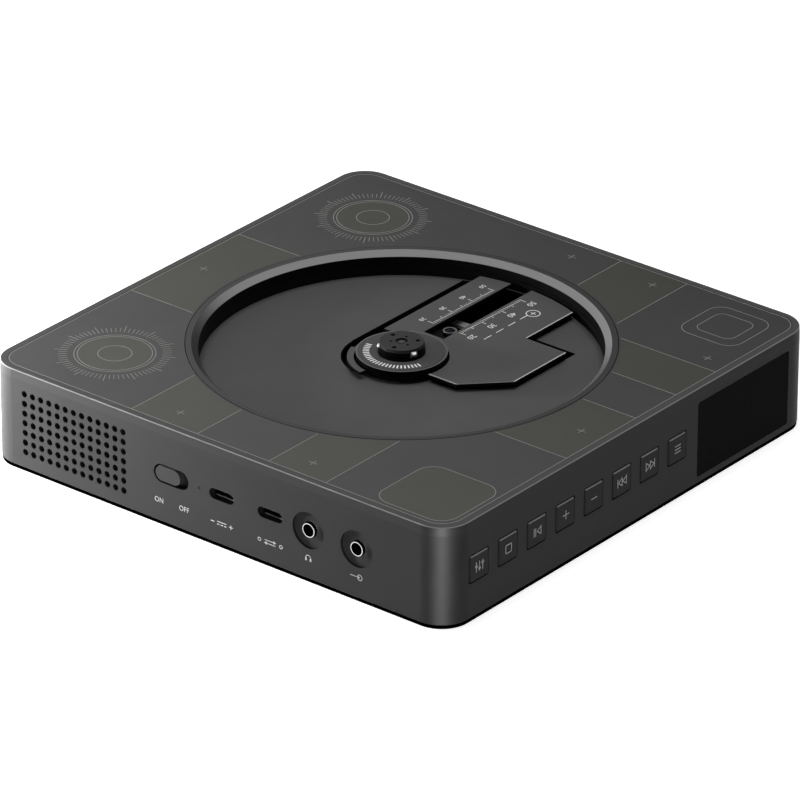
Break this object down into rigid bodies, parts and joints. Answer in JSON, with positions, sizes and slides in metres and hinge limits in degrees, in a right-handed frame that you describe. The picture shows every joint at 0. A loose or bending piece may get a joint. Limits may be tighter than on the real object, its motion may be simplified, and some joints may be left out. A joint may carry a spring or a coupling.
{
  "type": "wall mounted disc player",
  "caption": "Square slim disc player with an open round well, turntable and sliding laser pickup, a row of keys with a screen, a socket side with a speaker grille, and keyholes for a wall.",
  "frame": {"origin": "centre of the four pads, on the plane that meets the wall or table", "axes": "+Z out of the disc face, -Y out of the socket side, +X out of the key side, which is uppermost on a wall"},
  "size_m": [0.1811, 0.1808, 0.0338],
  "materials": {
    "case": "fine spark-eroded texture, charcoal grey",
    "panel": "smooth charcoal, printed in two close tones",
    "tray": "fine matt charcoal",
    "back": "coarse matt black",
    "foot_rubber": "matt rubber",
    "pad_rubber": "matt rubber",
    "satin_metal": "satin turned ring, its flat rim painted grey",
    "bright_metal": "polished",
    "steel": "plated sheet",
    "screw_steel": "dark plated",
    "key": "fine matt black with a pale printed sign",
    "switch_grey": "fine matt grey",
    "screen": "smoked cover glass",
    "clear_plastic": "clear moulding",
    "black_plastic": "moulded",
    "table": "satin moulding",
    "cloth": "open black weave",
    "cone_card": "pressed card",
    "magnet": "nickel plated",
    "lens": "coated clear lens",
    "diode_can": "gold plated can",
    "circuit_board": "green solder mask",
    "chip": "moulded package",
    "battery_foil": "folded foil pouch",
    "cable": "white film",
    "connector": "ivory nylon"
  },
  "bodies": {
    "case": {"body_shell": "case", "top_panel": "panel", "well_ring": "satin_metal", "well_tray": "tray", "back_cover": "back", "feet": "foot_rubber", "case_screws": "screw_steel", "tray_screws": "screw_steel", "button_board": "circuit_board", "tact_switches": "steel", "board_screws": "screw_steel", "screen_glass": "screen", "display_module": "black_plastic", "switch_body": "steel", "light_pipe": "clear_plastic", "usb_power_socket": "steel", "usb_data_socket": "steel", "usb_tongues": "black_plastic", "headphone_jack": "bright_metal", "line_jack": "bright_metal", "jack_bodies": "black_plastic", "io_board": "circuit_board", "grille_cloth": "cloth", "speaker_frame": "black_plastic", "speaker_magnet": "magnet", "mech_chassis": "black_plastic", "mech_cover": "tray", "mech_dampers": "foot_rubber", "mech_screws": "screw_steel", "spindle_motor": "steel", "guide_rods": "bright_metal", "sled_motor": "steel", "main_board": "circuit_board", "board_chips": "chip", "battery": "battery_foil", "flat_cables": "cable", "board_connectors": "connector"},
    "rotor": {"spindle_shaft": "bright_metal", "turntable": "table", "turntable_pad": "pad_rubber"},
    "claw_1": {"hub_claw_1": "bright_metal"},
    "claw_2": {"hub_claw_2": "bright_metal"},
    "claw_3": {"hub_claw_3": "bright_metal"},
    "sled": {"pickup_sled": "black_plastic", "actuator_yoke": "steel", "actuator_magnets": "magnet", "laser_diode": "diode_can"},
    "lens": {"lens_holder": "black_plastic", "pickup_lens": "lens"},
    "sled_screw": {"lead_screw": "bright_metal"},
    "power_slider": {"switch_knob": "switch_grey"},
    "cone": {"speaker_cone": "cone_card"},
    "key_eq": {"key_eq": "key"},
    "key_stop": {"key_stop": "key"},
    "key_play": {"key_play": "key"},
    "key_plus": {"key_plus": "key"},
    "key_minus": {"key_minus": "key"},
    "key_previous": {"key_previous": "key"},
    "key_next": {"key_next": "key"},
    "key_menu": {"key_menu": "key"}
  },
  "joints": [
    {"name": "platter_spin", "type": "hinge", "parent": "case", "child": "rotor", "pos_m": [0, 0, 0.0269], "axis": [0, 0, 1], "continuous": true},
    {"name": "sled_slide", "type": "slide", "parent": "case", "child": "sled", "axis": [0, 1, 0], "range_m": [0, 0.0342]},
    {"name": "lead_screw_turn", "type": "hinge", "parent": "case", "child": "sled_screw", "pos_m": [-0.0125, 0.04, 0.013], "axis": [0, 1, 0], "continuous": true},
    {"name": "lens_focus", "type": "slide", "parent": "sled", "child": "lens", "axis": [0, 0, 1], "range_m": [-0.0005, 0.0005], "stiffness_N_per_m": 40},
    {"name": "power_slide", "type": "slide", "parent": "case", "child": "power_slider", "axis": [1, 0, 0], "range_m": [0, 0.0027]},
    {"name": "cone_stroke", "type": "slide", "parent": "case", "child": "cone", "axis": [0, 1, 0], "range_m": [-0.0004, 0.0004], "stiffness_N_per_m": 600},
    {"name": "claw_1_press", "type": "slide", "parent": "rotor", "child": "claw_1", "axis": [-0.9511, 0.309, 0], "range_m": [0, 0.0005], "stiffness_N_per_m": 1500},
    {"name": "claw_2_press", "type": "slide", "parent": "rotor", "child": "claw_2", "axis": [0.2079, -0.9781, 0], "range_m": [0, 0.0005], "stiffness_N_per_m": 1500},
    {"name": "claw_3_press", "type": "slide", "parent": "rotor", "child": "claw_3", "axis": [0.7431, 0.6691, 0], "range_m": [0, 0.0005], "stiffness_N_per_m": 1500},
    {"name": "key_eq_press", "type": "slide", "parent": "case", "child": "key_eq", "axis": [-1, 0, 0], "range_m": [0, 0.0004], "stiffness_N_per_m": 3000, "springref_m": -0.00015},
    {"name": "key_stop_press", "type": "slide", "parent": "case", "child": "key_stop", "axis": [-1, 0, 0], "range_m": [0, 0.0004], "stiffness_N_per_m": 3000, "springref_m": -0.00015},
    {"name": "key_play_press", "type": "slide", "parent": "case", "child": "key_play", "axis": [-1, 0, 0], "range_m": [0, 0.0004], "stiffness_N_per_m": 3000, "springref_m": -0.00015},
    {"name": "key_plus_press", "type": "slide", "parent": "case", "child": "key_plus", "axis": [-1, 0, 0], "range_m": [0, 0.0004], "stiffness_N_per_m": 3000, "springref_m": -0.00015},
    {"name": "key_minus_press", "type": "slide", "parent": "case", "child": "key_minus", "axis": [-1, 0, 0], "range_m": [0, 0.0004], "stiffness_N_per_m": 3000, "springref_m": -0.00015},
    {"name": "key_previous_press", "type": "slide", "parent": "case", "child": "key_previous", "axis": [-1, 0, 0], "range_m": [0, 0.0004], "stiffness_N_per_m": 3000, "springref_m": -0.00015},
    {"name": "key_next_press", "type": "slide", "parent": "case", "child": "key_next", "axis": [-1, 0, 0], "range_m": [0, 0.0004], "stiffness_N_per_m": 3000, "springref_m": -0.00015},
    {"name": "key_menu_press", "type": "slide", "parent": "case", "child": "key_menu", "axis": [-1, 0, 0], "range_m": [0, 0.0004], "stiffness_N_per_m": 3000, "springref_m": -0.00015}
  ],
  "couplings": [
    {"joint": "lead_screw_turn", "follows": "sled_slide", "rad_per_m": -2618}
  ]
}
